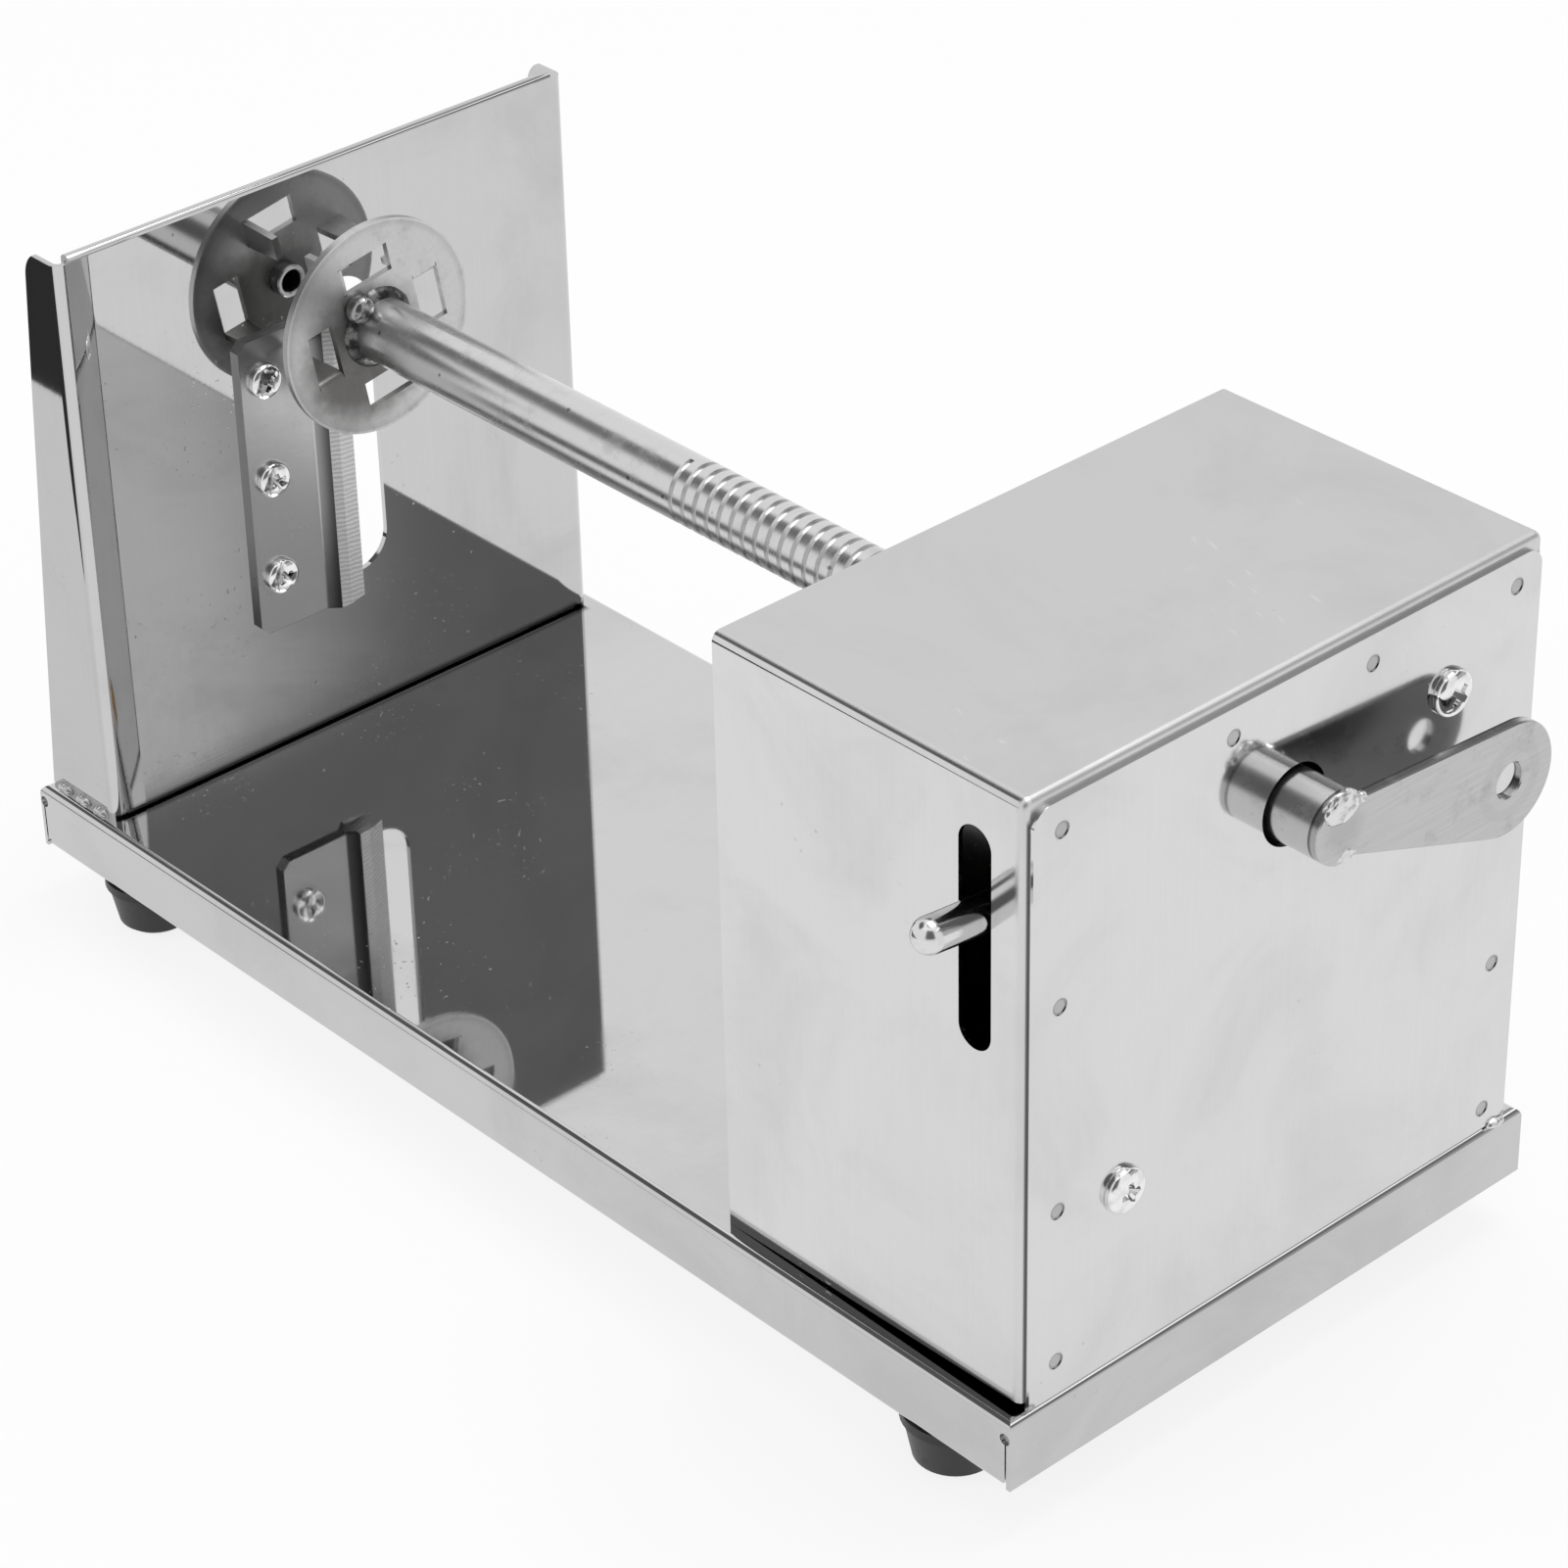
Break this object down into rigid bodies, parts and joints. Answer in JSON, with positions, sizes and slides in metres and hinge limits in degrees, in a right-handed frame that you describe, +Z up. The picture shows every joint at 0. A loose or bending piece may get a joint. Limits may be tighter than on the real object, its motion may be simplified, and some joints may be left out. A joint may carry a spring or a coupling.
{
  "type": "tornado potato cutter",
  "caption": "Hand-cranked spiral potato cutter: a threaded shaft in a sheet-steel housing turns and feeds a skewered potato against a fixed blade on an upright plate.",
  "frame": {"origin": "centre of the bounding box on the surface that the rubber feet stand on", "axes": "+X along the shaft from the blade plate to the crank, +Y away from the release lever, +Z up"},
  "size_m": [0.3112, 0.15, 0.16],
  "materials": {
    "polished_sheet": "mirror-polished stainless sheet with fine scratches",
    "turned_steel": "satin turned stainless steel",
    "blade_steel": "polished strip with a ground bevel",
    "plated_fasteners": "bright plated steel",
    "weld_metal": "rough weld bead",
    "bronze": "machined bronze",
    "black_rubber": "matt moulded rubber",
    "lever_steel": "polished round bar",
    "spring_steel": "drawn spring wire"
  },
  "bodies": {
    "base": {"base_tray": "polished_sheet", "rubber_feet": "black_rubber", "blade_plate": "polished_sheet", "plate_welds": "weld_metal", "blade": "blade_steel", "blade_screws": "plated_fasteners", "blade_nuts": "plated_fasteners", "housing_shell": "polished_sheet", "end_plate": "polished_sheet", "housing_welds": "weld_metal", "front_wall": "polished_sheet", "front_bush": "bronze", "bush_retainer": "plated_fasteners", "end_screws": "plated_fasteners", "end_nuts": "plated_fasteners", "return_spring": "spring_steel"},
    "feed": {"skewer_tube": "turned_steel"},
    "crank": {"threaded_shaft": "turned_steel", "pusher_disc": "turned_steel", "disc_weld": "weld_metal", "crank_arm": "turned_steel", "crank_welds": "weld_metal"},
    "lever": {"release_lever": "lever_steel", "half_nut": "lever_steel", "lever_welds": "weld_metal", "pivot_sleeve": "lever_steel"}
  },
  "joints": [
    {"name": "feed", "type": "slide", "parent": "base", "child": "feed", "axis": [1, 0, 0], "range_m": [0, 0.1331]},
    {"name": "crank_spin", "type": "hinge", "parent": "feed", "child": "crank", "pos_m": [-0.0056, 0.005, 0.128], "axis": [1, 0, 0], "range_deg": [0, 13680]},
    {"name": "lever", "type": "hinge", "parent": "base", "child": "lever", "pos_m": [0.1311, 0.046, 0.134], "axis": [-1, 0, 0], "range_deg": [0, 7.5], "stiffness_Nm_per_rad": 1.2, "springref_deg": -14.32, "deforming": ["return_spring"]}
  ],
  "couplings": [
    {"joint": "feed", "follows": "crank_spin", "m_per_rad": 0.00055704}
  ]
}
